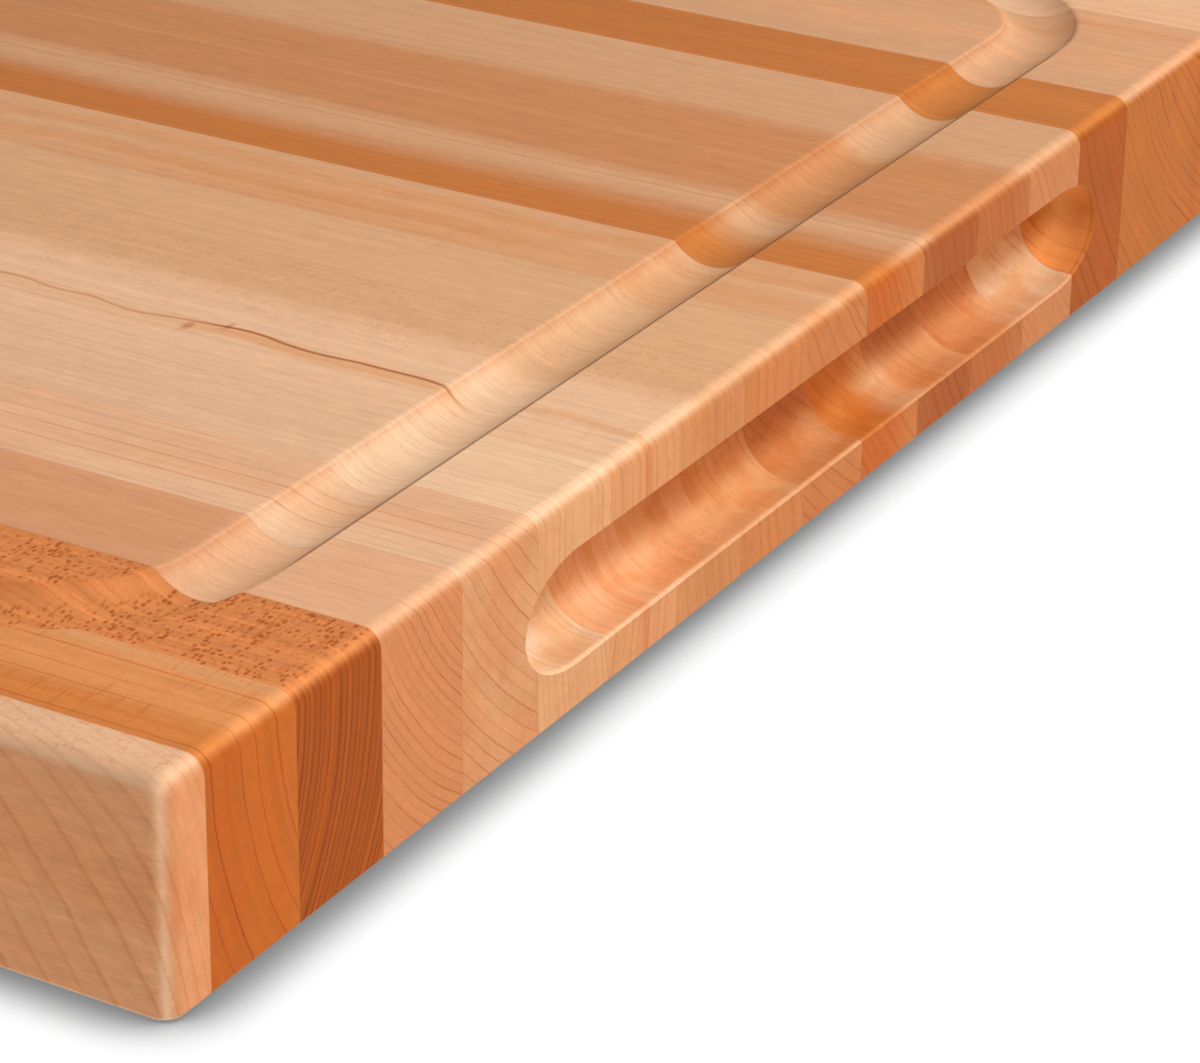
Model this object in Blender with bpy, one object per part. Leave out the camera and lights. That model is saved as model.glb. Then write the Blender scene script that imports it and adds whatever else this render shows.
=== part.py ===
"""Edge-grain maple cutting board with a juice groove and a finger grip in each end.

Full-length maple staves stand side by side across the board, with a thin glue line between each
pair. The juice groove and the finger grips are cut through the glued-up blank, so every stave and
every glue line carries its own share of them.

Metres, +Z up. X runs with the grain, and the origin is the middle of the underside.
"""

import math

import bmesh
import bpy
from mathutils import Matrix

# Driving dimensions
BOARD_LENGTH = 0.6096
BOARD_WIDTH = 0.4572
BOARD_THICKNESS = 0.0432

STAVE_COUNT = 19
STAVE_WIDTH = 0.0252
FRONT_STAVE_WIDTH = 0.0110
GLUE_THICKNESS = 0.0001
GLUE_CLEARANCE = 0.0001

TOP_EDGE_RADIUS = 0.0036
CORNER_RADIUS = 0.0040
BOTTOM_EDGE_RADIUS = 0.0008

GROOVE_INSET = 0.0353
GROOVE_WIDTH = 0.0171
GROOVE_DEPTH = 0.0040
GROOVE_CORNER_RADIUS = 0.0355

GRIP_LENGTH = 0.2408
GRIP_RADIUS = 0.0111
GRIP_NOSE_LENGTH = 0.0175
GRIP_HEIGHT = 0.0205
GRIP_STRAIGHT_DEPTH = 0.0030

# A blank stands this far past the finished faces before it is shaped
BLANK_MARGIN = 0.005

# Wood tones, as linear colours
TONES = {
    "pale": (0.72, 0.50, 0.30),
    "blush": (0.66, 0.38, 0.21),
    "honey": (0.62, 0.34, 0.15),
    "amber": (0.55, 0.22, 0.07),
    "chestnut": (0.40, 0.14, 0.04),
}
STAVE_TONES = (
    "blush", "amber", "chestnut", "blush", "pale", "pale", "honey", "honey", "blush", "blush",
    "honey", "honey", "amber", "pale", "chestnut", "blush", "honey", "pale", "blush",
)
GLUE_TONE = (0.50, 0.30, 0.14)
WOOD_ROUGHNESS = 0.45
GLUE_ROUGHNESS = 0.35


def clear_scene():
    """Remove whatever the scene holds."""
    for obj in list(bpy.data.objects):
        bpy.data.objects.remove(obj, do_unlink=True)


def new_collection(name):
    """A collection linked to the scene."""
    collection = bpy.data.collections.new(name)
    bpy.context.scene.collection.children.link(collection)
    return collection


def make_material(name, colour, roughness):
    """A non-metallic material of one colour."""
    material = bpy.data.materials.new(name)
    material.use_nodes = True
    shader = material.node_tree.nodes["Principled BSDF"]
    shader.inputs["Base Color"].default_value = (*colour, 1.0)
    shader.inputs["Roughness"].default_value = roughness
    shader.inputs["Metallic"].default_value = 0.0
    return material


def add_object(name, shape, collection):
    """An object from a bmesh, which is used up."""
    mesh = bpy.data.meshes.new(name)
    shape.to_mesh(mesh)
    shape.free()
    obj = bpy.data.objects.new(name, mesh)
    collection.objects.link(obj)
    return obj


def mark_as_cutter(obj):
    """Keep a cutter out of the render."""
    obj.hide_render = True
    obj.display_type = "WIRE"
    return obj


def box_shape(size, centre):
    """A bmesh box of the given size about a centre."""
    shape = bmesh.new()
    bmesh.ops.create_cube(shape, size=1.0)
    bmesh.ops.scale(shape, vec=size, verts=shape.verts)
    bmesh.ops.translate(shape, vec=centre, verts=shape.verts)
    return shape


def round_edges(shape, edges, radius, segments):
    """Round the given edges."""
    bmesh.ops.bevel(
        shape,
        geom=edges,
        offset=radius,
        offset_type="OFFSET",
        segments=segments,
        profile=0.5,
        affect="EDGES",
    )


def edges_at_height(shape, height):
    """The edges that lie in one horizontal plane and border an upright face."""
    return [
        edge
        for edge in shape.edges
        if all(abs(vert.co.z - height) < 1e-6 for vert in edge.verts)
        and any(abs(face.normal.z) < 0.5 for face in edge.link_faces)
    ]


def make_envelope(collection):
    """The finished outside of the board: rounded corners, rounded top edge, eased bottom edge."""
    size = (BOARD_LENGTH, BOARD_WIDTH, BOARD_THICKNESS)
    shape = box_shape(size, (0.0, 0.0, BOARD_THICKNESS / 2))
    shape.normal_update()
    upright = [
        edge for edge in shape.edges if abs(edge.verts[0].co.z - edge.verts[1].co.z) > 1e-6
    ]
    round_edges(shape, upright, CORNER_RADIUS, 4)
    shape.normal_update()
    round_edges(shape, edges_at_height(shape, BOARD_THICKNESS), TOP_EDGE_RADIUS, 4)
    shape.normal_update()
    round_edges(shape, edges_at_height(shape, 0.0), BOTTOM_EDGE_RADIUS, 1)
    return mark_as_cutter(add_object("envelope", shape, collection))


def rounded_rectangle(half_length, half_width, radius, steps):
    """Points round a rectangle with arcs at its corners, anticlockwise."""
    points = []
    corners = ((1, 1, 0), (-1, 1, 90), (-1, -1, 180), (1, -1, 270))
    for side_x, side_y, start in corners:
        centre_x = side_x * (half_length - radius)
        centre_y = side_y * (half_width - radius)
        for step in range(steps + 1):
            angle = math.radians(start + 90 * step / steps)
            points.append(
                (centre_x + radius * math.cos(angle), centre_y + radius * math.sin(angle))
            )
    return points


def make_groove_cutter(collection):
    """A round bar laid along the groove's centre line, so that its underside cuts the cove."""
    bar_radius = ((GROOVE_WIDTH / 2) ** 2 + GROOVE_DEPTH**2) / (2 * GROOVE_DEPTH)
    bar_height = BOARD_THICKNESS - GROOVE_DEPTH + bar_radius
    path = rounded_rectangle(
        BOARD_LENGTH / 2 - GROOVE_INSET,
        BOARD_WIDTH / 2 - GROOVE_INSET,
        GROOVE_CORNER_RADIUS,
        6,
    )
    curve = bpy.data.curves.new("groove_path", "CURVE")
    curve.dimensions = "3D"
    curve.twist_mode = "Z_UP"
    curve.bevel_depth = bar_radius
    curve.bevel_resolution = 10
    spline = curve.splines.new("POLY")
    spline.points.add(len(path) - 1)
    for point, (x, y) in zip(spline.points, path):
        point.co = (x, y, bar_height, 1.0)
    spline.use_cyclic_u = True
    guide = bpy.data.objects.new("groove_path", curve)
    collection.objects.link(guide)

    bpy.context.view_layer.update()
    graph = bpy.context.evaluated_depsgraph_get()
    mesh = bpy.data.meshes.new_from_object(guide.evaluated_get(graph))
    mesh.materials.clear()
    shape = bmesh.new()
    shape.from_mesh(mesh)
    bmesh.ops.remove_doubles(shape, verts=shape.verts, dist=1e-6)
    bmesh.ops.recalc_face_normals(shape, faces=shape.faces)
    bpy.data.objects.remove(guide, do_unlink=True)
    bpy.data.meshes.remove(mesh)
    return mark_as_cutter(add_object("groove_cutter", shape, collection))


def make_grip_cutter(name, side, collection):
    """A long-nosed slot: half a capsule lying along Y, carried straight out through the end face.

    side is 1 for the +X end of the board and -1 for the other.
    """
    shape = bmesh.new()
    bmesh.ops.create_uvsphere(shape, u_segments=24, v_segments=12, radius=GRIP_RADIUS)
    bmesh.ops.rotate(shape, matrix=Matrix.Rotation(math.pi / 2, 3, "X"), verts=shape.verts)

    # Lengthen the ball's noses, then split it at its middle ring and pull the halves apart
    nose = (1.0, GRIP_NOSE_LENGTH / GRIP_RADIUS, 1.0)
    bmesh.ops.scale(shape, vec=nose, verts=shape.verts)
    split = bmesh.ops.bisect_plane(
        shape, geom=shape.verts[:] + shape.edges[:] + shape.faces[:],
        plane_co=(0.0, 0.0, 0.0), plane_no=(0.0, 1.0, 0.0), dist=1e-7,
    )
    ring = [item for item in split["geom_cut"] if isinstance(item, bmesh.types.BMEdge)]
    bmesh.ops.split_edges(shape, edges=ring)
    reach = GRIP_LENGTH / 2 - GRIP_NOSE_LENGTH
    for face in shape.faces:
        face.tag = face.calc_center_median().y > 0
    for vert in shape.verts:
        vert.co.y += reach if vert.link_faces[0].tag else -reach
    open_rings = [edge for edge in shape.edges if edge.is_boundary]
    bmesh.ops.bridge_loops(shape, edges=open_rings)

    # Keep the inner half, then carry its rim out past the end of the board
    bmesh.ops.bisect_plane(
        shape, geom=shape.verts[:] + shape.edges[:] + shape.faces[:],
        plane_co=(0.0, 0.0, 0.0), plane_no=(1.0, 0.0, 0.0), dist=1e-7, clear_outer=True,
    )
    rim = [edge for edge in shape.edges if edge.is_boundary]
    wall = bmesh.ops.extrude_edge_only(shape, edges=rim)["geom"]
    mouth = [item for item in wall if isinstance(item, bmesh.types.BMVert)]
    travel = GRIP_STRAIGHT_DEPTH + BLANK_MARGIN
    bmesh.ops.translate(shape, vec=(travel, 0.0, 0.0), verts=mouth)
    mouth_edges = [edge for edge in shape.edges if edge.is_boundary]
    bmesh.ops.contextual_create(shape, geom=mouth_edges)

    if side < 0:
        bmesh.ops.rotate(shape, matrix=Matrix.Rotation(math.pi, 3, "Z"), verts=shape.verts)
    centre_x = side * (BOARD_LENGTH / 2 - GRIP_STRAIGHT_DEPTH)
    bmesh.ops.translate(shape, vec=(centre_x, 0.0, GRIP_HEIGHT), verts=shape.verts)
    bmesh.ops.recalc_face_normals(shape, faces=shape.faces)
    return mark_as_cutter(add_object(name, shape, collection))


def add_boolean(obj, cutter, operation):
    """A Boolean modifier with the exact solver."""
    modifier = obj.modifiers.new(cutter.name, "BOOLEAN")
    modifier.operation = operation
    modifier.object = cutter


def shape_from_blank(name, low_y, high_y, envelope, groove, grips, collection):
    """One slice of the glued-up blank, from low_y to high_y, with its share of each cut."""
    size = (
        BOARD_LENGTH + 2 * BLANK_MARGIN,
        high_y - low_y,
        BOARD_THICKNESS + 2 * BLANK_MARGIN,
    )
    shape = box_shape(size, (0.0, 0.0, 0.0))
    obj = add_object(name, shape, collection)
    obj.location = (0.0, (low_y + high_y) / 2, BOARD_THICKNESS / 2)
    add_boolean(obj, envelope, "INTERSECT")
    add_boolean(obj, groove, "DIFFERENCE")
    if low_y < GRIP_LENGTH / 2 and high_y > -GRIP_LENGTH / 2:
        for grip in grips:
            add_boolean(obj, grip, "DIFFERENCE")
    return obj


def joint_positions():
    """The Y position of each glued joint, from the front edge to the back."""
    first = -BOARD_WIDTH / 2 + FRONT_STAVE_WIDTH
    return [first + STAVE_WIDTH * index for index in range(STAVE_COUNT - 1)]


def build():
    """Model every stave and every glue line."""
    clear_scene()
    board = new_collection("cutting_board")
    cutters = new_collection("cutters")

    envelope = make_envelope(cutters)
    groove = make_groove_cutter(cutters)
    grips = [
        make_grip_cutter("grip_cutter_right", 1, cutters),
        make_grip_cutter("grip_cutter_left", -1, cutters),
    ]

    joints = joint_positions()
    half_gap = GLUE_THICKNESS / 2 + GLUE_CLEARANCE
    outer = BOARD_WIDTH / 2 + BLANK_MARGIN
    lows = [-outer] + [joint + half_gap for joint in joints]
    highs = [joint - half_gap for joint in joints] + [outer]
    for number, (low, high, tone) in enumerate(zip(lows, highs, STAVE_TONES), 1):
        name = f"stave_{number:02d}"
        stave = shape_from_blank(name, low, high, envelope, groove, grips, board)
        stave.data.materials.append(
            make_material(f"maple_{number:02d}", TONES[tone], WOOD_ROUGHNESS)
        )

    for number, joint in enumerate(joints, 1):
        name = f"glue_line_{number:02d}"
        low = joint - GLUE_THICKNESS / 2
        high = joint + GLUE_THICKNESS / 2
        line = shape_from_blank(name, low, high, envelope, groove, grips, board)
        line.data.materials.append(make_material(f"glue_{number:02d}", GLUE_TONE, GLUE_ROUGHNESS))


build()
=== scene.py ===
"""Looks for the edge-grain maple cutting board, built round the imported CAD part.

The whole board is carved once at a fine resolution, then sliced at its glued joints into the
staves and the glue lines. Every piece stands for the CAD node of the same name.

Metres, +Z up, X along the grain, origin in the middle of the underside.
"""

import math

import bmesh
import bpy
from mathutils import Matrix, Vector


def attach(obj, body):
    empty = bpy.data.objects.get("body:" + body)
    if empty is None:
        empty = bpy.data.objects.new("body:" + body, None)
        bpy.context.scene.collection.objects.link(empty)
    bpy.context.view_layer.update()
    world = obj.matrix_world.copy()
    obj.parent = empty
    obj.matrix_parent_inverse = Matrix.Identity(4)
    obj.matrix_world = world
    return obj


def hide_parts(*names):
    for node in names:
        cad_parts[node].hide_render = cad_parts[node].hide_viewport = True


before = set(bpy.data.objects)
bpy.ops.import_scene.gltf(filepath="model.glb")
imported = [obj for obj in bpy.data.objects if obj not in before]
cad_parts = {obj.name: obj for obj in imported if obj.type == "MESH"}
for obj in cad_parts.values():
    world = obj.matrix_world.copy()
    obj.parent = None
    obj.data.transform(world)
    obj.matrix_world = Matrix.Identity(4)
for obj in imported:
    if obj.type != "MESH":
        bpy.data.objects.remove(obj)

# Board sizes, as in the CAD part
BOARD_LENGTH = 0.6096
BOARD_WIDTH = 0.4572
BOARD_THICKNESS = 0.0432
STAVE_COUNT = 19
STAVE_WIDTH = 0.0252
FRONT_STAVE_WIDTH = 0.0110
TOP_EDGE_RADIUS = 0.0036
CORNER_RADIUS = 0.0040
BOTTOM_EDGE_RADIUS = 0.0008
GROOVE_INSET = 0.0353
GROOVE_WIDTH = 0.0171
GROOVE_DEPTH = 0.0040
GROOVE_CORNER_RADIUS = 0.0355
GRIP_LENGTH = 0.2408
GRIP_RADIUS = 0.0111
GRIP_NOSE_LENGTH = 0.0175
GRIP_HEIGHT = 0.0205
GRIP_STRAIGHT_DEPTH = 0.0030

# Finer detail that the CAD leaves out
GROOVE_EASE_RADIUS = 0.0010
GRIP_EASE = 0.0005
GLUE_HALF = 0.00006
JOINT_GAP = 0.000004

# Where the groove's eased edge leaves its wall and meets the flat top
WALL_TRIM = 0.055  # radians of the wall's arc that the ease takes up
RIM_RUN = 0.0008
RIM_RISE = 0.0002

# How far the cutters stand out of the board, and how the grip's cutter spreads there
CUTTER_PROUD = 0.0040
GRIP_SPREAD = 0.0006
GRIP_EASE_PROUD = 0.00002

# Smoothness of the carving
ROUND_SEGMENTS = 8
BOTTOM_EDGE_SEGMENTS = 3
TURN_STEPS = 24
WALL_STEPS = 14
GROOVE_EASE_STEPS = 5
GROOVE_EASE_LEVEL = 5.6  # the step at which the ease would lie level, just past its last one
GRIP_EASE_STEPS = 5
GRIP_BACK_STEPS = 16
GRIP_BACK_TURN = 88.5  # degrees, so that the back stays a narrow strip and not a line
SHARP_ANGLE = 32  # degrees

# Distances too small to matter
SAME_HEIGHT = 1e-6
ON_PLANE = 1e-7
SAME_PLACE = 2e-7


# ---------------------------------------------------------------- carving


def mesh_object(name, shape):
    """An object in the scene from a bmesh, which is used up."""
    mesh = bpy.data.meshes.new(name)
    shape.to_mesh(mesh)
    shape.free()
    obj = bpy.data.objects.new(name, mesh)
    bpy.context.scene.collection.objects.link(obj)
    return obj


def round_edges(shape, edges, radius, segments):
    bmesh.ops.bevel(
        shape,
        geom=edges,
        offset=radius,
        offset_type="OFFSET",
        segments=segments,
        profile=0.5,
        affect="EDGES",
    )
    shape.normal_update()


def rim_edges(shape, height):
    """The edges in one horizontal plane that border an upright face."""
    return [
        edge
        for edge in shape.edges
        if all(abs(vert.co.z - height) < SAME_HEIGHT for vert in edge.verts)
        and any(abs(face.normal.z) < 0.5 for face in edge.link_faces)
    ]


def upright_edges(shape):
    return [
        edge
        for edge in shape.edges
        if abs(edge.verts[0].co.z - edge.verts[1].co.z) > SAME_HEIGHT
    ]


def blank():
    """The outside of the board before the groove and the grips are cut."""
    shape = bmesh.new()
    bmesh.ops.create_cube(shape, size=1.0)
    size = (BOARD_LENGTH, BOARD_WIDTH, BOARD_THICKNESS)
    bmesh.ops.scale(shape, vec=size, verts=shape.verts)
    bmesh.ops.translate(shape, vec=(0, 0, BOARD_THICKNESS / 2), verts=shape.verts)
    shape.normal_update()
    round_edges(shape, upright_edges(shape), CORNER_RADIUS, ROUND_SEGMENTS)
    round_edges(shape, rim_edges(shape, BOARD_THICKNESS), TOP_EDGE_RADIUS, ROUND_SEGMENTS)
    round_edges(shape, rim_edges(shape, 0.0), BOTTOM_EDGE_RADIUS, BOTTOM_EDGE_SEGMENTS)
    return mesh_object("board", shape)


def loft(name, loops, closed):
    """A closed skin through equal loops of points, capped at both ends unless the row of loops closes."""
    shape = bmesh.new()
    rings = [[shape.verts.new(point) for point in loop] for loop in loops]
    pairs = list(zip(rings, rings[1:]))
    if closed:
        pairs.append((rings[-1], rings[0]))
    count = len(rings[0])
    for first, second in pairs:
        for index in range(count):
            after = (index + 1) % count
            shape.faces.new((first[index], first[after], second[after], second[index]))
    if not closed:
        shape.faces.new(rings[0])
        shape.faces.new(rings[-1])
    bmesh.ops.recalc_face_normals(shape, faces=shape.faces)
    return mesh_object(name, shape)


def groove_profile():
    """Half of the groove's cross-section from its bottom out, as (distance from centre line, height)."""
    radius = ((GROOVE_WIDTH / 2) ** 2 + GROOVE_DEPTH**2) / (2 * GROOVE_DEPTH)
    centre = BOARD_THICKNESS - GROOVE_DEPTH + radius
    meet = math.asin((GROOVE_WIDTH / 2) / radius) - WALL_TRIM
    points = []
    for step in range(WALL_STEPS + 1):
        angle = meet * step / WALL_STEPS
        points.append((radius * math.sin(angle), centre - radius * math.cos(angle)))
    # the eased edge turns the wall over into the flat top
    start_x, start_z = points[-1]
    ease_x = start_x + GROOVE_EASE_RADIUS * math.sin(meet)
    ease_z = start_z - GROOVE_EASE_RADIUS * math.cos(meet)
    for step in range(1, GROOVE_EASE_STEPS + 1):
        angle = meet * (1 - step / GROOVE_EASE_LEVEL)
        x = ease_x - GROOVE_EASE_RADIUS * math.sin(angle)
        z = ease_z + GROOVE_EASE_RADIUS * math.cos(angle)
        points.append((x, z))
    rim_x = points[-1][0] + RIM_RUN
    rim_z = points[-1][1] + RIM_RISE
    points.append((rim_x, rim_z))
    points.append((rim_x, BOARD_THICKNESS + CUTTER_PROUD))
    return points


def groove_cutter():
    """The groove's cross-section swept round its rounded-rectangle centre line."""
    half = groove_profile()
    section = half + [(-x, z) for x, z in reversed(half[1:])]
    half_length = BOARD_LENGTH / 2 - GROOVE_INSET - GROOVE_CORNER_RADIUS
    half_width = BOARD_WIDTH / 2 - GROOVE_INSET - GROOVE_CORNER_RADIUS
    loops = []
    for side_x, side_y, start in ((1, 1, 0), (-1, 1, 90), (-1, -1, 180), (1, -1, 270)):
        for step in range(TURN_STEPS + 1):
            angle = math.radians(start + 90 * step / TURN_STEPS)
            across = Vector((math.cos(angle), math.sin(angle), 0))
            base = Vector((side_x * half_length, side_y * half_width, 0))
            base += across * GROOVE_CORNER_RADIUS
            loops.append([base + across * x + Vector((0, 0, z)) for x, z in section])
    return loft("groove_cutter", loops, True)


def grip_levels():
    """The grip's outlines from its mouth to its back, as (depth, half height)."""
    levels = [(-CUTTER_PROUD, GRIP_RADIUS + GRIP_EASE + GRIP_SPREAD)]
    for step in range(GRIP_EASE_STEPS + 1):
        turn = math.radians(90 * step / GRIP_EASE_STEPS)
        depth = GRIP_EASE * math.sin(turn) - GRIP_EASE_PROUD
        levels.append((depth, GRIP_RADIUS + GRIP_EASE * (1 - math.sin(turn))))
    for step in range(GRIP_BACK_STEPS + 1):
        turn = math.radians(GRIP_BACK_TURN * step / GRIP_BACK_STEPS)
        depth = GRIP_STRAIGHT_DEPTH + GRIP_RADIUS * math.sin(turn)
        levels.append((depth, GRIP_RADIUS * math.cos(turn)))
    return levels


def grip_cutter(side):
    """The finger grip in one end: a long-nosed slot with an eased mouth."""
    reach = GRIP_LENGTH / 2 - GRIP_NOSE_LENGTH
    stretch = GRIP_NOSE_LENGTH / GRIP_RADIUS
    loops = []
    for depth, radius in grip_levels():
        x = side * (BOARD_LENGTH / 2 - depth)
        loop = []
        for tip in (1, -1):
            for step in range(TURN_STEPS + 1):
                angle = math.radians(-90 + 180 * step / TURN_STEPS)
                y = tip * (reach + stretch * radius * math.cos(angle))
                z = GRIP_HEIGHT + tip * radius * math.sin(angle)
                loop.append(Vector((x, y, z)))
        loops.append(loop)
    return loft("grip_cutter", loops, False)


def subtract(board, cutter):
    """Cuts the cutter's shape out of the board and removes the cutter."""
    modifier = board.modifiers.new("cut", "BOOLEAN")
    modifier.operation = "DIFFERENCE"
    modifier.solver = "EXACT"
    modifier.object = cutter
    graph = bpy.context.evaluated_depsgraph_get()
    carved = bpy.data.meshes.new_from_object(board.evaluated_get(graph))
    board.modifiers.clear()
    board.data = carved
    bpy.data.objects.remove(cutter, do_unlink=True)


def carved_board():
    board = blank()
    for cutter in (groove_cutter(), grip_cutter(1), grip_cutter(-1)):
        subtract(board, cutter)
    return board


def slice_of(board, name, low, high):
    """The part of the board between two planes across it, closed again at both cuts."""
    shape = bmesh.new()
    shape.from_mesh(board.data)
    for limit, way in ((low, -1), (high, 1)):
        if limit is None:
            continue
        bmesh.ops.bisect_plane(
            shape,
            geom=shape.verts[:] + shape.edges[:] + shape.faces[:],
            plane_co=(0, limit, 0),
            plane_no=(0, way, 0),
            dist=ON_PLANE,
            clear_outer=True,
        )
        rim = [edge for edge in shape.edges if edge.is_boundary]
        if rim:
            bmesh.ops.holes_fill(shape, edges=rim, sides=0)
    bmesh.ops.remove_doubles(shape, verts=shape.verts, dist=SAME_PLACE)
    bmesh.ops.recalc_face_normals(shape, faces=shape.faces)
    piece = mesh_object(name, shape)
    piece.data.shade_smooth()
    piece.data.set_sharp_from_angle(angle=math.radians(SHARP_ANGLE))
    weighted = piece.modifiers.new("even_shading", "WEIGHTED_NORMAL")
    weighted.keep_sharp = True
    weighted.weight = 100
    return piece


# ---------------------------------------------------------------- node building


# Each figure in the wood: features per metre along the grain, across it and upward, then a seed
# of its own, how many finer octaves it has, and how strong they are
FIGURES = {
    "wander_y": ((4.0, 34.0, 34.0), 0, 2.0, 0.5),
    "wander_z": ((4.0, 34.0, 34.0), 40, 2.0, 0.5),
    "wobble": ((22.0, 330.0, 330.0), 20, 1.0, 0.5),
    "line_patch": ((30.0, 60.0, 60.0), 31, 1.0, 0.5),
    "ray": ((1150.0, 260.0, 3400.0), 3, 1.0, 0.5),
    "ray_patch": ((45.0, 120.0, 120.0), 9, 2.0, 0.5),
    "tick": ((1100.0, 110.0, 110.0), 12, 1.0, 0.5),
    "column": ((640.0, 70.0, 70.0), 14, 0.0, 0.5),
    "fibre": ((30.0, 1500.0, 1500.0), 5, 2.0, 0.65),
    "hair": ((260.0, 3600.0, 3600.0), 6, 1.0, 0.5),
    "patch": ((5.0, 70.0, 70.0), 7, 3.0, 0.5),
    "mottle": ((140.0, 420.0, 420.0), 8, 3.0, 0.6),
    "growth": ((1.0, 1.0, 1.0), 16, 3.0, 0.6),
    "hollow": ((90.0, 75.0, 150.0), 70, 3.0, 0.55),
    "glue_run": ((22.0, 5.0, 60.0), 60, 3.0, 0.5),
}
NOISE_START = (11.3, 5.7, 2.9)
NOISE_STEP = (3.17, 7.91, 1.73)  # how far apart two neighbouring seeds lie in the noise
NOISE_LOW = 0.2
NOISE_HIGH = 0.8
CELL_START = (0.0, 0.0, 0.4)
CELL_STEP = (2.3, 1.0, 0.0)
CELL_SCATTER = 0.8
LINE_STEP = 1.37


def far_off(start, step, seed):
    return tuple(seed * stride + first for first, stride in zip(start, step))


class Graph:
    """Short calls for building one material's nodes."""

    def __init__(self, name):
        self.material = bpy.data.materials.new(name)
        self.material.use_nodes = True
        self.tree = self.material.node_tree
        self.shader = self.tree.nodes["Principled BSDF"]
        coordinates = self.tree.nodes.new("ShaderNodeTexCoord")
        self.place = coordinates.outputs["Object"]
        split = self.tree.nodes.new("ShaderNodeSeparateXYZ")
        self.put(self.place, split.inputs[0])
        self.x, self.y, self.z = split.outputs

    def put(self, value, socket):
        if isinstance(value, bpy.types.NodeSocket):
            self.tree.links.new(value, socket)
        elif isinstance(value, (tuple, list)) and len(value) == 3 and socket.type == "RGBA":
            socket.default_value = (*value, 1.0)
        else:
            socket.default_value = value

    def facing(self):
        """How squarely a face looks along X, Y and Z, from 0 to 1."""
        geometry = self.tree.nodes.new("ShaderNodeNewGeometry")
        normal = self.tree.nodes.new("ShaderNodeSeparateXYZ")
        self.put(geometry.outputs["Normal"], normal.inputs[0])
        return [self.size(part) for part in normal.outputs]

    def math(self, operation, first, second=0.0, third=0.0, clamp=False):
        node = self.tree.nodes.new("ShaderNodeMath")
        node.operation = operation
        node.use_clamp = clamp
        for value, socket in zip((first, second, third), node.inputs):
            self.put(value, socket)
        return node.outputs[0]

    def add(self, first, second):
        return self.math("ADD", first, second)

    def sub(self, first, second):
        return self.math("SUBTRACT", first, second)

    def mul(self, first, second):
        return self.math("MULTIPLY", first, second)

    def size(self, value):
        return self.math("ABSOLUTE", value)

    def length(self, first, second):
        return self.math("SQRT", self.add(self.mul(first, first), self.mul(second, second)))

    def vector(self, x, y, z):
        node = self.tree.nodes.new("ShaderNodeCombineXYZ")
        for value, socket in zip((x, y, z), node.inputs):
            self.put(value, socket)
        return node.outputs[0]

    def stretched(self, source, scale, offset):
        node = self.tree.nodes.new("ShaderNodeVectorMath")
        node.operation = "MULTIPLY_ADD"
        self.put(source, node.inputs[0])
        node.inputs[1].default_value = scale
        node.inputs[2].default_value = offset
        return node.outputs[0]

    def figure(self, name, seed, source=None):
        """One of the figures in the wood, as noise whose middle value is about 0.5."""
        scale, own_seed, detail, rough = FIGURES[name]
        node = self.tree.nodes.new("ShaderNodeTexNoise")
        node.inputs["Scale"].default_value = 1.0
        node.inputs["Detail"].default_value = detail
        node.inputs["Roughness"].default_value = rough
        offset = far_off(NOISE_START, NOISE_STEP, seed + own_seed)
        source = self.place if source is None else source
        self.put(self.stretched(source, scale, offset), node.inputs["Vector"])
        return node.outputs["Fac"]

    def cells(self, source, scale, seed):
        """The distance to the nearest of many scattered points, one in each cell."""
        node = self.tree.nodes.new("ShaderNodeTexVoronoi")
        node.inputs["Scale"].default_value = 1.0
        node.inputs["Randomness"].default_value = CELL_SCATTER
        offset = far_off(CELL_START, CELL_STEP, seed)
        self.put(self.stretched(source, scale, offset), node.inputs["Vector"])
        return node.outputs["Distance"]

    def line_noise(self, value, scale, seed):
        """Noise along one value only."""
        node = self.tree.nodes.new("ShaderNodeTexNoise")
        node.noise_dimensions = "1D"
        node.inputs["Scale"].default_value = scale
        node.inputs["Detail"].default_value = 1.0
        self.put(self.add(value, seed * LINE_STEP), node.inputs["W"])
        return node.outputs["Fac"]

    def random(self, value):
        node = self.tree.nodes.new("ShaderNodeTexWhiteNoise")
        node.noise_dimensions = "1D"
        self.put(value, node.inputs["W"])
        return node.outputs["Value"]

    def ranged(self, value, start, end, low, high):
        node = self.tree.nodes.new("ShaderNodeMapRange")
        self.put(value, node.inputs["Value"])
        self.put(start, node.inputs["From Min"])
        self.put(end, node.inputs["From Max"])
        self.put(low, node.inputs["To Min"])
        self.put(high, node.inputs["To Max"])
        return node

    def rise(self, value, start, end, low=0.0, high=1.0):
        """A smooth step from low to high as the value goes from start to end."""
        node = self.ranged(value, start, end, low, high)
        node.interpolation_type = "SMOOTHSTEP"
        return node.outputs["Result"]

    def between(self, share, low, high):
        """Low where the share is 0, high where it is 1."""
        return self.ranged(share, 0, 1, low, high).outputs["Result"]

    def spread(self, noise, low, high):
        """Low at the noise's usual least, high at its usual most."""
        return self.ranged(noise, NOISE_LOW, NOISE_HIGH, low, high).outputs["Result"]

    def mix(self, share, first, second, blend="MIX"):
        node = self.tree.nodes.new("ShaderNodeMix")
        node.data_type = "RGBA"
        node.blend_type = blend
        node.clamp_factor = True
        self.put(share, node.inputs[0])
        self.put(first, node.inputs[6])
        self.put(second, node.inputs[7])
        return node.outputs[2]

    def tinted(self, share, colour, tint):
        """The colour, multiplied by the tint as far as the share says."""
        return self.mix(share, colour, self.mix(1.0, colour, tint, "MULTIPLY"))

    def power(self, colour, exponent):
        node = self.tree.nodes.new("ShaderNodeGamma")
        self.put(colour, node.inputs["Color"])
        self.put(exponent, node.inputs["Gamma"])
        return node.outputs[0]

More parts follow.
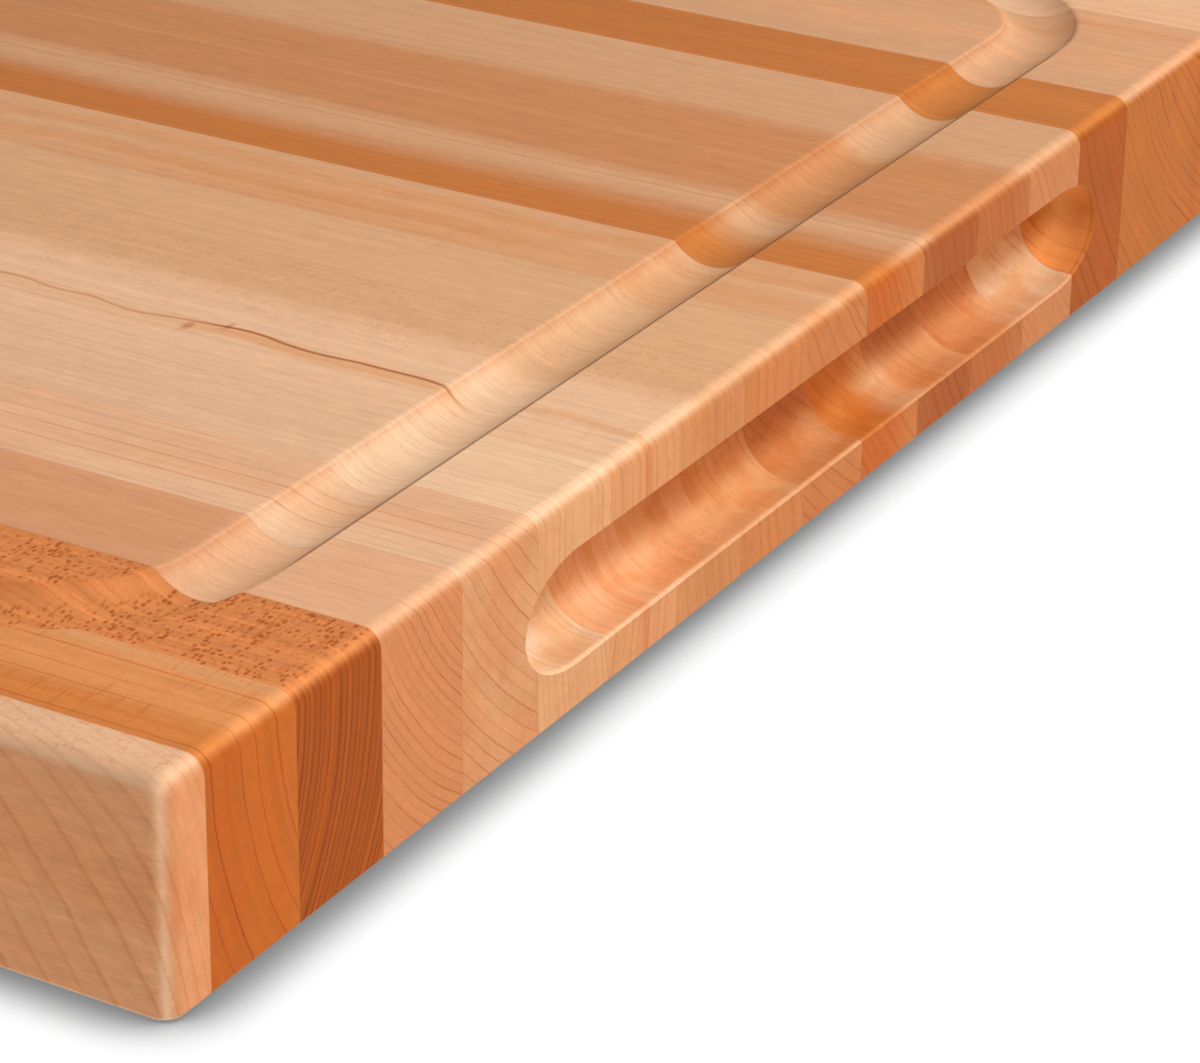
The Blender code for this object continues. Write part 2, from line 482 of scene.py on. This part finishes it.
    def scaled(self, colour, factor):
        """A colour times a number."""
        node = self.tree.nodes.new("ShaderNodeVectorMath")
        node.operation = "SCALE"
        self.put(colour, node.inputs[0])
        self.put(factor, node.inputs["Scale"])
        return node.outputs[0]


# ---------------------------------------------------------------- maple


def shown(red, green, blue):
    """A linear colour from its display values, 0 to 255."""
    return tuple(round((value / 255) ** 2.2, 4) for value in (red, green, blue))


PALE = shown(229, 181, 143)
CREAM = shown(233, 189, 150)
BLUSH = shown(224, 168, 128)
ROSE = shown(217, 156, 114)
HONEY = shown(218, 157, 111)
SAND = shown(215, 162, 120)
PEACH = shown(220, 150, 96)
HAZEL = shown(213, 150, 104)
TAN = shown(198, 132, 86)
FAWN = shown(207, 154, 114)
GINGER = shown(211, 126, 65)
AMBER = shown(221, 143, 85)
RUST = shown(217, 133, 77)
CHESTNUT = shown(194, 116, 59)
UMBER = shown(185, 111, 56)

# Where a streak may start or stop: past either end of the board, and at the edge of the flat inside
# the groove
LEFT = -0.31
RIGHT = 0.31
FIELD_EDGE = 0.262

# A stave's look, unless its own entry says otherwise. Tints multiply the tone beneath them.
DEFAULTS = {
    "tones": (PALE, BLUSH),  # its broad patches run between these
    "pith": (0.072, 0.066),  # the heart of the tree, across and up from the middle of the stave's end
    "tilt": (0.0, 0.0),  # how far the pith moves across and up for each metre along the board
    "spacing": 0.0019,  # from one growth ring to the next
    "wander": 0.0010,  # how far a ring strays from its circle
    "ring": 0.30,  # strength of the ring lines on the long faces
    "ring_end": 0.80,  # and on the ends
    "ring_width": 0.26,  # share of the spacing that a line takes
    "ring_tint": (0.70, 0.46, 0.30),
    "band": 0.07,  # strength of the soft bands between the lines
    "flecks": 0.06,  # strength of the rays that run out from the pith
    "fleck_tint": (0.70, 0.50, 0.36),
    "ticks": 0.06,  # strength of the fine ticks across the grain
    "dots": 0.0,  # strength of the pits
    "dot_tint": (0.66, 0.44, 0.30),
    "fibre": 0.045,  # strength of the fibres
    "fades": (),
    "wave": 0.0,  # how far a streak swings from side to side
    "streaks": (),
    "knots": (),
    "end_power": 1.2,  # deepens every tone on the ends
    # end tint: partly the end grain's own deeper tone, partly painted shade set stave by stave
    "end_tint": (0.66, 0.56, 0.45),
    # the grip tint is partly the hollow's own tone and partly painted light
    "grip": (1.0, 1.0, 1.0),  # tint inside the grip
    # painted shade that darkens the long upright face
    "side_painted_shade": 1.0,  # deepens every tone on the long upright face
}

# One entry for each stave, front to back. Distances across are from the middle of the stave.
# A fade is (start, finish, tone).
# A streak is (middle, half width, strength, tint, first x, last x).
# A knot is (x, across, half length, half width, strength).
STAVES = [
    dict(
        tones=(BLUSH, PALE),
        pith=(-0.250, -0.090),
        tilt=(-0.36, 0.0),
        spacing=0.0027,
        ring=0.42,
        ring_end=0.40,
        ring_width=0.30,
        ring_tint=(0.80, 0.60, 0.44),
        flecks=0.05,
        dots=0.65,
        dot_tint=(0.92, 0.74, 0.56),
        # painted shade on the long upright face
        side_painted_shade=1.45,
        end_tint=(0.74, 0.58, 0.45),
    ),
    dict(
        tones=(AMBER, AMBER),
        pith=(0.085, 0.022),
        spacing=0.0058,
        wander=0.0009,
        ring=0.90,
        ring_end=0.90,
        ring_width=0.11,
        ticks=0.50,
        fleck_tint=(0.86, 0.68, 0.48),
        dots=0.12,
        band=0.10,
        end_tint=(0.58, 0.42, 0.15),
        fades=((0.000, -0.006, GINGER), (0.008, 0.0105, PEACH)),
    ),
    dict(
        tones=(RUST, RUST),
        pith=(-0.065, 0.018),
        spacing=0.0016,
        wander=0.0010,
        ring=0.25,
        ring_end=0.95,
        ring_width=0.50,
        ring_tint=(0.66, 0.46, 0.30),
        dots=1.0,
        ticks=0.70,
        fleck_tint=(0.84, 0.66, 0.48),
        band=0.22,
        end_tint=(0.45, 0.33, 0.065),
    ),
    dict(
        tones=(BLUSH, BLUSH),
        pith=(0.065, 0.054),
        spacing=0.0019,
        streaks=((0.0, 0.080, 0.85, (0.86, 0.72, 0.62), LEFT, FIELD_EDGE),),
        end_tint=(0.64, 0.50, 0.36),
    ),
    dict(
        tones=(PALE, BLUSH),
        pith=(0.072, 0.068),
        spacing=0.0027,
        ring=0.55,
        ring_end=0.85,
        ring_width=0.17,
    ),
    dict(
        tones=(PALE, CREAM),
        pith=(0.180, 0.012),
        spacing=0.0022,
        ring=0.30,
        ring_end=0.35,
        ring_width=0.35,
        streaks=((0.0, 0.080, 0.80, (0.90, 0.84, 0.82), LEFT, FIELD_EDGE),),
        grip=(0.88, 1.00, 1.08),
    ),
    dict(
        tones=(PALE, PALE),
        pith=(-0.150, 0.010),
        spacing=0.0032,
        ring=0.30,
        ring_end=0.45,
        ring_width=0.25,
        wave=0.0024,
        streaks=(
            (0.0010, 0.0055, 0.35, (0.94, 0.84, 0.72), LEFT, 0.205),
            (0.0026, 0.0006, 0.80, (0.78, 0.56, 0.38), LEFT, 0.265),
            (0.0006, 0.0026, 0.75, (0.94, 0.74, 0.55), 0.205, FIELD_EDGE),
            (0.0028, 0.0008, 0.85, (0.66, 0.42, 0.26), 0.205, FIELD_EDGE),
            (0.0010, 0.0019, 0.60, (0.93, 0.75, 0.55), 0.275, 0.32),
        ),
        knots=((0.2035, 0.0006, 0.0016, 0.0028, 0.75), (0.2105, 0.0044, 0.0010, 0.0026, 0.60)),
        end_tint=(0.65, 0.50, 0.37),
        grip=(0.92, 0.80, 0.66),
    ),
    dict(
        tones=(SAND, SAND),
        fades=((0.001, -0.0126, PALE),),
        pith=(0.160, 0.015),
        spacing=0.0023,
        ring=0.12,
        ring_end=0.40,
        dots=0.16,
        ticks=0.10,
        end_tint=(0.65, 0.51, 0.37),
        grip=(0.92, 0.80, 0.66),
    ),
    dict(
        tones=(SAND, SAND),
        pith=(0.140, 0.010),
        spacing=0.0034,
        ring=0.12,
        ring_end=0.35,
        ring_width=0.30,
        end_tint=(0.65, 0.46, 0.29),
        grip=(0.92, 0.84, 0.70),
    ),
    dict(
        tones=(SAND, HAZEL),
        pith=(0.060, 0.055),
        spacing=0.0030,
        ring=0.20,
        ring_end=0.60,
        wave=0.0040,
        streaks=(
            (-0.0040, 0.0045, 0.45, (0.98, 0.86, 0.70), LEFT, 0.24),
            (0.0060, 0.0040, 0.40, (0.98, 0.85, 0.68), LEFT, RIGHT),
        ),
        end_tint=(0.63, 0.48, 0.33),
        grip=(0.80, 0.66, 0.50),
    ),
    dict(
        tones=(CHESTNUT, CHESTNUT),
        pith=(0.090, 0.060),
        spacing=0.0026,
        ring=0.25,
        ring_end=0.55,
        fades=((-0.0035, 0.0100, FAWN),),
        end_tint=(0.78, 0.68, 0.50),
        grip=(0.95, 0.98, 0.95),
    ),
    dict(
        tones=(TAN, TAN),
        pith=(0.110, 0.050),
        spacing=0.0032,
        ring=0.25,
        ring_end=0.55,
        fades=((-0.0040, -0.0122, FAWN),),
        streaks=((0.0118, 0.0022, 0.80, (1.06, 1.12, 1.20), LEFT, RIGHT),),
        end_tint=(0.54, 0.37, 0.20),
        grip=(1.02, 1.06, 1.08),
    ),
    dict(
        tones=(TAN, TAN),
        pith=(0.120, 0.050),
        spacing=0.0030,
        ring=0.20,
        ring_end=0.55,
        fades=((0.0030, 0.0118, FAWN),),
        end_tint=(0.64, 0.51, 0.36),
        grip=(0.98, 0.94, 0.88),
    ),
    dict(
        tones=(FAWN, FAWN),
        pith=(0.090, 0.070),
        spacing=0.0024,
        ring=0.12,
        ring_end=0.45,
        end_tint=(0.69, 0.54, 0.40),
        grip=(1.00, 1.16, 1.32),
    ),
    dict(
        tones=(CHESTNUT, UMBER),
        pith=(0.100, 0.060),
        spacing=0.0040,
        ring=0.30,
        ring_end=0.70,
        end_tint=(0.60, 0.50, 0.20),
        grip=(1.25, 1.45, 1.70),
    ),
    dict(
        tones=(FAWN, ROSE),
        pith=(0.090, 0.070),
        spacing=0.0026,
        ring=0.15,
        end_tint=(0.56, 0.36, 0.12),
    ),
    dict(
        tones=(FAWN, ROSE),
        pith=(0.080, 0.090),
        spacing=0.0028,
        ring=0.15,
        streaks=((0.0045, 0.0035, 0.55, (0.96, 0.84, 0.70), LEFT, RIGHT),),
        end_tint=(0.56, 0.36, 0.12),
    ),
    dict(
        tones=(PALE, BLUSH),
        pith=(0.100, 0.040),
        spacing=0.0024,
        ring=0.20,
    ),
    dict(
        tones=(BLUSH, HONEY),
        pith=(0.070, -0.060),
        spacing=0.0022,
        ring=0.20,
    ),
]


# How squarely a face looks one way, from not counted to fully counted
END_FACING = (0.55, 0.96)
SIDE_FACING = (0.75, 1.0)
TOP_FACING = (0.80, 0.97)

# Growth rings
WOBBLE = 0.00022
RING_CROWDING_SCALE = 0.43
RING_CROWDING = 1.1
RING_SEED_STEP = 17
LINE_DARKEST = 0.93  # a line darkens slowly up to this share of the ring, then ends sharply
LINE_END = (0.95, 1.0)
LINE_FAINTEST = 0.45
LINE_PATCHES = (0.25, 0.60, 0.55, 1.0)
BAND_SCALE = (3.0, 420.0)  # along the grain and out from the pith

# Rays, ticks and pits
RAY_PATCH_SHARE = 0.35
RAYS_SHOWN = (0.80, 0.88)
TICKS_SHOWN = (0.52, 0.70)
TICK_PATCHES = (0.40, 0.62)
PIT_SCALE = (980.0, 640.0, 800.0)
PIT_EDGE = (0.52, 0.26)
PIT_COLUMNS = (0.36, 0.56, 0.30, 1.0)

# Tones
TONE_PATCHES = (0.30, 0.70)
FADE_DRIFT = 0.004
FADE_ON_END = 0.4
STREAK_SOFTNESS = 0.25  # share of its half width within which a streak is at full strength
STREAK_TAPER = 0.006
WAVE_SCALE = 38.0
WAVE_SEED = 50
KNOT_CORE = 0.3
HAIR_LIGHT = (0.95, 1.05)
MOTTLE_LIGHT = (0.93, 1.07)

# The hollow of the grip, as (outside it, well inside it) distances, its tones, and the painted light that
# lightens it with height
HOLLOW_MOUTH = (0.0006, 0.0012)
HOLLOW_BACK = (0.0178, 0.0168)
HOLLOW_TIP = (GRIP_LENGTH / 2 + 0.0021, GRIP_LENGTH / 2 + 0.0011)
HOLLOW_EDGE = (GRIP_RADIUS + 0.0011, GRIP_RADIUS + 0.0005)
HOLLOW_PATCHES = (0.42, 0.66)
HOLLOW_PATCH_TINT = (0.95, 0.78, 0.60)
# painted light: the hollow grows lighter with height
HOLLOW_PAINTED_LIGHT = (0.019, 0.030, 1.0, 1.22)  # lighter with height, from one to the other

# The groove, likewise, and the painted light that pales it a little
TROUGH_TOP = (BOARD_THICKNESS - 0.0004, BOARD_THICKNESS - 0.0012)
TROUGH_BOTTOM = (BOARD_THICKNESS - 0.0050, BOARD_THICKNESS - 0.0044)
TROUGH_FAR_X = (BOARD_LENGTH / 2 - 0.0148, BOARD_LENGTH / 2 - 0.0188)
TROUGH_FAR_Y = (BOARD_WIDTH / 2 - 0.0146, BOARD_WIDTH / 2 - 0.0186)
TROUGH_PAINTED_LIGHT = (1.01, 1.06, 1.09)

# The line of painted shade along the top of the groove's outer wall at each end
SHADE_LINE_X = BOARD_LENGTH / 2 - GROOVE_INSET + GROOVE_WIDTH / 2 + 0.0001
SHADE_LINE_WIDTH = (0.0006, 0.0003)
SHADE_LINE_REACH = (0.160, 0.150)
SHADE_LINE_TOP = (BOARD_THICKNESS - 0.0016, BOARD_THICKNESS - 0.0010)
SHADE_LINE_STRENGTH = 0.65
SHADE_LINE_TONE = (0.16, 0.070, 0.028)

# Surface
WOOD_ROUGHNESS = (0.46, 0.60)
WOOD_GLOSS = 0.06
FIBRE_RELIEF = 0.6
PIT_RELIEF = -0.6
BUMP_STRENGTH = 0.30
BUMP_HEIGHT = 0.00012


def tint_of(colour, tint):
    return tuple(value * share for value, share in zip(colour, tint))


def wander(g, seed):
    """Two slow pushes, across and upward, from -1 to 1."""
    return [g.between(g.figure(name, seed), -1, 1) for name in ("wander_y", "wander_z")]


def from_pith(g, seed, centre_y, look, push_y, push_z):
    """How far across and up a point lies from the pith, with the rings' wandering in it."""
    wobble = g.between(g.figure("wobble", seed), -WOBBLE, WOBBLE)
    pith_y = centre_y + look["pith"][0]
    pith_z = BOARD_THICKNESS / 2 + look["pith"][1]
    stray_y = g.math("MULTIPLY_ADD", push_y, look["wander"], wobble)
    stray_z = g.mul(push_z, look["wander"])
    off_y = g.sub(g.add(g.y, stray_y), pith_y)
    off_z = g.sub(g.add(g.z, stray_z), pith_z)
    off_y = g.math("MULTIPLY_ADD", g.x, -look["tilt"][0], off_y)
    off_z = g.math("MULTIPLY_ADD", g.x, -look["tilt"][1], off_z)
    return off_y, off_z


def ring_lines(g, seed, radius, look):
    """The dark line that closes each growth ring. Some rings are closer or fainter than others."""
    count = g.mul(radius, 1 / look["spacing"])
    crowding = g.mul(g.line_noise(count, RING_CROWDING_SCALE, seed), RING_CROWDING)
    count = g.add(count, crowding)
    within = g.math("FRACT", count)
    which = g.random(g.add(g.math("FLOOR", count), seed * RING_SEED_STEP))
    start = g.rise(within, 1 - look["ring_width"], LINE_DARKEST)
    line = g.mul(start, g.rise(within, *LINE_END, 1.0, 0.0))
    line = g.mul(line, g.between(which, LINE_FAINTEST, 1.0))
    return g.mul(line, g.rise(g.figure("line_patch", seed), *LINE_PATCHES))


def marks(g, seed, radius, turn, flat, look):
    """Rays out from the pith with fine ticks across the grain, and small pits that stand in columns."""
    ray = g.figure("ray", seed, g.vector(g.x, radius, turn))
    ray_patch = g.figure("ray_patch", seed)
    fleck = g.rise(g.add(ray, g.mul(ray_patch, RAY_PATCH_SHARE)), *RAYS_SHOWN)
    tick = g.rise(g.figure("tick", seed), *TICKS_SHOWN)
    tick = g.mul(tick, g.rise(ray_patch, *TICK_PATCHES))
    tick = g.mul(tick, flat)
    spots = g.math("ADD", g.mul(fleck, look["flecks"]), g.mul(tick, look["ticks"]), clamp=True)
    pit = g.rise(g.cells(g.place, PIT_SCALE, seed), *PIT_EDGE)
    dot = g.mul(pit, g.rise(g.figure("column", seed), *PIT_COLUMNS))
    dot = g.mul(g.mul(dot, flat), look["dots"])
    return spots, dot


def streaked(g, colour, seed, centre_y, look):
    bend = g.between(g.line_noise(g.x, WAVE_SCALE, seed + WAVE_SEED), -look["wave"], look["wave"])
    for offset, half, strength, tint, first_x, last_x in look["streaks"]:
        away = g.size(g.sub(g.add(g.y, bend), centre_y + offset))
        share = g.rise(away, half, half * STREAK_SOFTNESS, 0.0, strength)
        share = g.mul(share, g.rise(g.x, first_x - STREAK_TAPER, first_x + STREAK_TAPER))
        share = g.mul(share, g.rise(g.x, last_x + STREAK_TAPER, last_x - STREAK_TAPER))
        colour = g.tinted(share, colour, tint)
    return colour


def knotted(g, colour, centre_y, look):
    for knot_x, offset, half_x, half_y, strength in look["knots"]:
        along = g.mul(g.sub(g.x, knot_x), 1 / half_x)
        across = g.mul(g.sub(g.y, centre_y + offset), 1 / half_y)
        share = g.rise(g.length(along, across), 1.0, KNOT_CORE, 0.0, strength)
        colour = g.tinted(share, colour, look["ring_tint"])
    return colour


def deepened(g, colour, end, side, look):
    """The ends are deeper in tone, partly as end grain is and partly as painted shade, and some staves'
    long upright face is deepened too, as painted shade.
    """
    if look["side_painted_shade"] != 1.0:
        colour = g.mix(side, colour, g.power(colour, look["side_painted_shade"]))
    deep = g.mix(1.0, g.power(colour, look["end_power"]), look["end_tint"], "MULTIPLY")
    return g.mix(end, colour, deep)


def hollowed(g, colour, seed, look):
    """The hollow of the grip is cut at every angle, so its tone wanders. Its tint per stave is partly its
    own tone and partly painted light, and it is painted lighter with height.
    """
    x_size = g.size(g.x)
    mouth = g.rise(x_size, *(BOARD_LENGTH / 2 - depth for depth in HOLLOW_MOUTH))
    hollow = g.mul(mouth, g.rise(x_size, *(BOARD_LENGTH / 2 - depth for depth in HOLLOW_BACK)))
    hollow = g.mul(hollow, g.rise(g.size(g.y), *HOLLOW_TIP))
    hollow = g.mul(hollow, g.rise(g.size(g.sub(g.z, GRIP_HEIGHT)), *HOLLOW_EDGE))
    patches = g.rise(g.figure("hollow", seed), *HOLLOW_PATCHES)
    tint_and_painted_light = g.mix(patches, look["grip"], tint_of(look["grip"], HOLLOW_PATCH_TINT))
    # painted light, lighter with height
    tint_and_painted_light = g.scaled(tint_and_painted_light, g.rise(g.z, *HOLLOW_PAINTED_LIGHT))
    return g.tinted(hollow, colour, tint_and_painted_light)


def grooved(g, colour):
    """Lightens the groove a little as painted light, and draws a fine dark line of painted shade along
    its outer wall at each end.
    """
    x_size = g.size(g.x)
    y_size = g.size(g.y)
    # painted light: the groove is made a little paler
    trough = g.mul(g.rise(g.z, *TROUGH_TOP), g.rise(x_size, *TROUGH_FAR_X))
    trough = g.mul(trough, g.rise(y_size, *TROUGH_FAR_Y))
    trough = g.mul(trough, g.rise(g.z, *TROUGH_BOTTOM))
    colour = g.tinted(trough, colour, TROUGH_PAINTED_LIGHT)
    # painted shade: a fine dark line along the top of the outer wall
    painted_shade_line = g.rise(g.size(g.sub(x_size, SHADE_LINE_X)), *SHADE_LINE_WIDTH)
    painted_shade_line = g.mul(painted_shade_line, g.rise(y_size, *SHADE_LINE_REACH))
    painted_shade_line = g.mul(painted_shade_line, g.rise(g.z, *SHADE_LINE_TOP))
    return g.mix(g.mul(painted_shade_line, SHADE_LINE_STRENGTH), colour, SHADE_LINE_TONE)


def maple(name, number, centre_y, look):
    """One stave's wood: growth rings round a pith, rays, fibres and slow changes of tone."""
    look = {**DEFAULTS, **look}
    g = Graph(name)
    seed = float(number)
    facing_x, facing_y, facing_z = g.facing()
    end = g.rise(facing_x, *END_FACING)
    side = g.rise(facing_y, *SIDE_FACING)
    flat = g.rise(facing_z, *TOP_FACING)

    push_y, push_z = wander(g, seed)
    off_y, off_z = from_pith(g, seed, centre_y, look, push_y, push_z)
    radius = g.length(off_y, off_z)
    turn = g.mul(g.math("ARCTAN2", off_z, off_y), math.hypot(*look["pith"]))
    line = ring_lines(g, seed, radius, look)
    spots, dot = marks(g, seed, radius, turn, flat, look)
    fibre = g.figure("fibre", seed)
    mottle = g.figure("mottle", seed)

    colour = g.mix(g.rise(g.figure("patch", seed), *TONE_PATCHES), *look["tones"])
    drift = g.add(g.y, g.mul(push_y, FADE_DRIFT))
    for start, finish, tone in look["fades"]:
        share = g.rise(drift, centre_y + start, centre_y + finish)
        share = g.mul(share, g.between(end, 1.0, FADE_ON_END))
        colour = g.mix(share, colour, tone)
    line = g.mul(line, g.between(end, look["ring"], look["ring_end"]))
    colour = g.tinted(line, colour, look["ring_tint"])
    colour = streaked(g, colour, seed, centre_y, look)
    colour = knotted(g, colour, centre_y, look)
    colour = g.tinted(spots, colour, look["fleck_tint"])
    colour = g.tinted(dot, colour, look["dot_tint"])

    along, outward = BAND_SCALE
    growth = g.figure("growth", seed, g.vector(g.mul(g.x, along), g.mul(radius, outward), 0.0))
    shade = g.spread(fibre, 1 - look["fibre"], 1 + look["fibre"])
    shade = g.mul(shade, g.spread(g.figure("hair", seed), *HAIR_LIGHT))
    shade = g.mul(shade, g.spread(mottle, *MOTTLE_LIGHT))
    shade = g.mul(shade, g.spread(growth, 1 - look["band"], 1 + look["band"]))
    colour = g.scaled(colour, shade)

    # the ends' deeper tone with painted shade, the long face's painted shade, the grip's painted light
    # and the groove's painted light and shade
    colour = deepened(g, colour, end, side, look)
    colour = hollowed(g, colour, seed, look)
    colour = grooved(g, colour)
    g.put(colour, g.shader.inputs["Base Color"])
    g.put(g.spread(mottle, *WOOD_ROUGHNESS), g.shader.inputs["Roughness"])
    g.shader.inputs["Specular IOR Level"].default_value = WOOD_GLOSS

    relief = g.add(g.mul(fibre, FIBRE_RELIEF), g.mul(g.add(spots, dot), PIT_RELIEF))
    bump = g.tree.nodes.new("ShaderNodeBump")
    bump.inputs["Strength"].default_value = BUMP_STRENGTH
    bump.inputs["Distance"].default_value = BUMP_HEIGHT
    g.put(relief, bump.inputs["Height"])
    g.put(bump.outputs[0], g.shader.inputs["Normal"])
    return g.material


# ---------------------------------------------------------------- glue

GLUE_LIGHT_TINT = (0.88, 0.82, 0.75)
GLUE_DARK_TINT = (0.72, 0.60, 0.50)
GLUE_END_TINT = (0.56, 0.44, 0.33)
GLUE_PATCHES = (0.35, 0.65)
GLUE_ROUGHNESS = (0.45, 0.60)
GLUE_GLOSS = 0.10


def glue(name, number):
    """The thin cured film between two staves, in a tone between theirs that varies along the joint."""
    g = Graph(name)
    end = g.rise(g.facing()[0], *END_FACING)
    sides = (STAVES[number - 1]["tones"][0], STAVES[number]["tones"][0])
    tone = tuple((front + back) / 2 for front, back in zip(*sides))
    run = g.figure("glue_run", number)
    light = tint_of(tone, GLUE_LIGHT_TINT)
    dark = tint_of(tone, GLUE_DARK_TINT)
    colour = g.mix(g.rise(run, *GLUE_PATCHES), light, dark)
    colour = g.tinted(end, colour, GLUE_END_TINT)
    g.put(colour, g.shader.inputs["Base Color"])
    g.put(g.spread(run, *GLUE_ROUGHNESS), g.shader.inputs["Roughness"])
    g.shader.inputs["Specular IOR Level"].default_value = GLUE_GLOSS
    return g.material


# ---------------------------------------------------------------- pieces


def dress(piece, material):
    piece.data.materials.clear()
    piece.data.materials.append(material)


def build_board():
    board = carved_board()
    first = -BOARD_WIDTH / 2 + FRONT_STAVE_WIDTH
    joints = [first + STAVE_WIDTH * index for index in range(STAVE_COUNT - 1)]
    edge = BOARD_WIDTH / 2
    reach = GLUE_HALF + JOINT_GAP
    for number in range(1, STAVE_COUNT + 1):
        low = joints[number - 2] + reach if number > 1 else None
        high = joints[number - 1] - reach if number < STAVE_COUNT else None
        front = -edge if low is None else low
        back = edge if high is None else high
        name = f"stave_{number:02d}"
        piece = slice_of(board, name + "_wood", low, high)
        look = STAVES[number - 1]
        dress(piece, maple(f"maple_{number:02d}_grain", number, (front + back) / 2, look))
        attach(piece, "root")
        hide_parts(name)
    for number, joint in enumerate(joints, 1):
        name = f"glue_line_{number:02d}"
        piece = slice_of(board, name + "_film", joint - GLUE_HALF, joint + GLUE_HALF)
        dress(piece, glue(f"glue_{number:02d}_film", number))
        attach(piece, "root")
        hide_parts(name)
    bpy.data.objects.remove(board, do_unlink=True)


# ---------------------------------------------------------------- stage

WHITE = (1.0, 1.0, 1.0)
FLOOR_HALF_SIZE = 6.0
FLOOR_DROP = 0.0002  # keeps the floor clear of the underside
FLOOR_TONE = 0.04
FLOOR_ROUGHNESS = 0.9
SHADOW_REACH = 0.0135
SHADOW_SAMPLES = 24
# (share of the sky left open over the floor, how bright the floor then is)
SHADOW_LEVELS = ((0.50, 0.25), (0.62, 0.37), (0.76, 0.62), (0.90, 0.89), (1.00, 1.00))

WORLD_STRENGTH = 0.46
LIGHT_DISTANCE = 1.5
# (name, elevation and azimuth in degrees, size, watts)
# The key stands high beyond the end with the grip, and the fill is low enough to reach into it.
LIGHTS = (("key", 42, 10, 1.1, 14.2), ("fill", 5, 16, 0.8, 9.0))

CAMERA_PLACE = (0.64496, -0.68734, 0.35947)
CAMERA_RIGHT = (0.8642, 0.5031, 0.0116)
CAMERA_UP = (-0.2267, 0.3686, 0.9015)
CAMERA_BACK = (0.4493, -0.7817, 0.4325)
SENSOR_WIDTH = 36.0  # millimetres, like the lens
LENS = 127.3
CLIP_NEAR = 0.01
CLIP_FAR = 50.0


def shadow_ramp(g):
    """The floor's brightness, darker close to the foot of the board."""
    occlusion = g.tree.nodes.new("ShaderNodeAmbientOcclusion")
    occlusion.samples = SHADOW_SAMPLES
    occlusion.inputs["Distance"].default_value = SHADOW_REACH
    ramp = g.tree.nodes.new("ShaderNodeValToRGB")
    stops = ramp.color_ramp.elements
    darkest, *middle, lightest = SHADOW_LEVELS
    for stop, (position, level) in zip(stops, (darkest, lightest)):
        stop.position = position
        stop.color = (level, level, level, 1.0)
    for position, level in middle:
        stop = stops.new(position)
        stop.color = (level, level, level, 1.0)
    g.put(occlusion.outputs["AO"], ramp.inputs["Fac"])
    return ramp.outputs["Color"]


def build_floor():
    shape = bmesh.new()
    bmesh.ops.create_grid(shape, x_segments=1, y_segments=1, size=FLOOR_HALF_SIZE)
    floor = mesh_object("floor", shape)
    floor.location.z = -FLOOR_DROP
    g = Graph("pale_floor")
    level = shadow_ramp(g)
    g.put(g.scaled(level, FLOOR_TONE), g.shader.inputs["Base Color"])
    # the soft shadow shows on the floor, and the board above still gets the whole floor's light
    path = g.tree.nodes.new("ShaderNodeLightPath")
    glow = g.mix(path.outputs["Is Camera Ray"], WHITE, level)
    g.put(glow, g.shader.inputs["Emission Color"])
    g.shader.inputs["Emission Strength"].default_value = 1.0
    g.shader.inputs["Roughness"].default_value = FLOOR_ROUGHNESS
    g.shader.inputs["Specular IOR Level"].default_value = 0.0
    floor.data.materials.append(g.material)


def build_light():
    world = bpy.data.worlds.new("studio")
    world.use_nodes = True
    background = world.node_tree.nodes["Background"]
    background.inputs["Color"].default_value = (*WHITE, 1.0)
    background.inputs["Strength"].default_value = WORLD_STRENGTH
    bpy.context.scene.world = world
    for name, elevation, azimuth, size, energy in LIGHTS:
        lift = math.radians(elevation)
        swing = math.radians(azimuth)
        level = math.cos(lift)
        direction = Vector((level * math.cos(swing), level * math.sin(swing), math.sin(lift)))
        light = bpy.data.lights.new(name, "AREA")
        light.shape = "DISK"
        light.size = size
        light.energy = energy
        lamp = bpy.data.objects.new(name, light)
        lamp.location = direction * LIGHT_DISTANCE
        lamp.rotation_mode = "QUATERNION"
        lamp.rotation_quaternion = direction.to_track_quat("Z", "Y")
        bpy.context.scene.collection.objects.link(lamp)


def build_camera():
    """Looks down past the near corner, along both the front edge and the end with the grip."""
    data = bpy.data.cameras.new("camera")
    data.sensor_width = SENSOR_WIDTH
    data.sensor_fit = "HORIZONTAL"
    data.lens = LENS
    data.clip_start = CLIP_NEAR
    data.clip_end = CLIP_FAR
    camera = bpy.data.objects.new("camera", data)
    axes = Matrix((CAMERA_RIGHT, CAMERA_UP, CAMERA_BACK)).transposed()
    camera.rotation_mode = "QUATERNION"
    camera.rotation_quaternion = axes.to_quaternion()
    camera.location = CAMERA_PLACE
    bpy.context.scene.collection.objects.link(camera)
    bpy.context.scene.camera = camera


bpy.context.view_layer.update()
build_board()
build_floor()
build_light()
build_camera()
bpy.context.scene.view_settings.view_transform = "Standard"
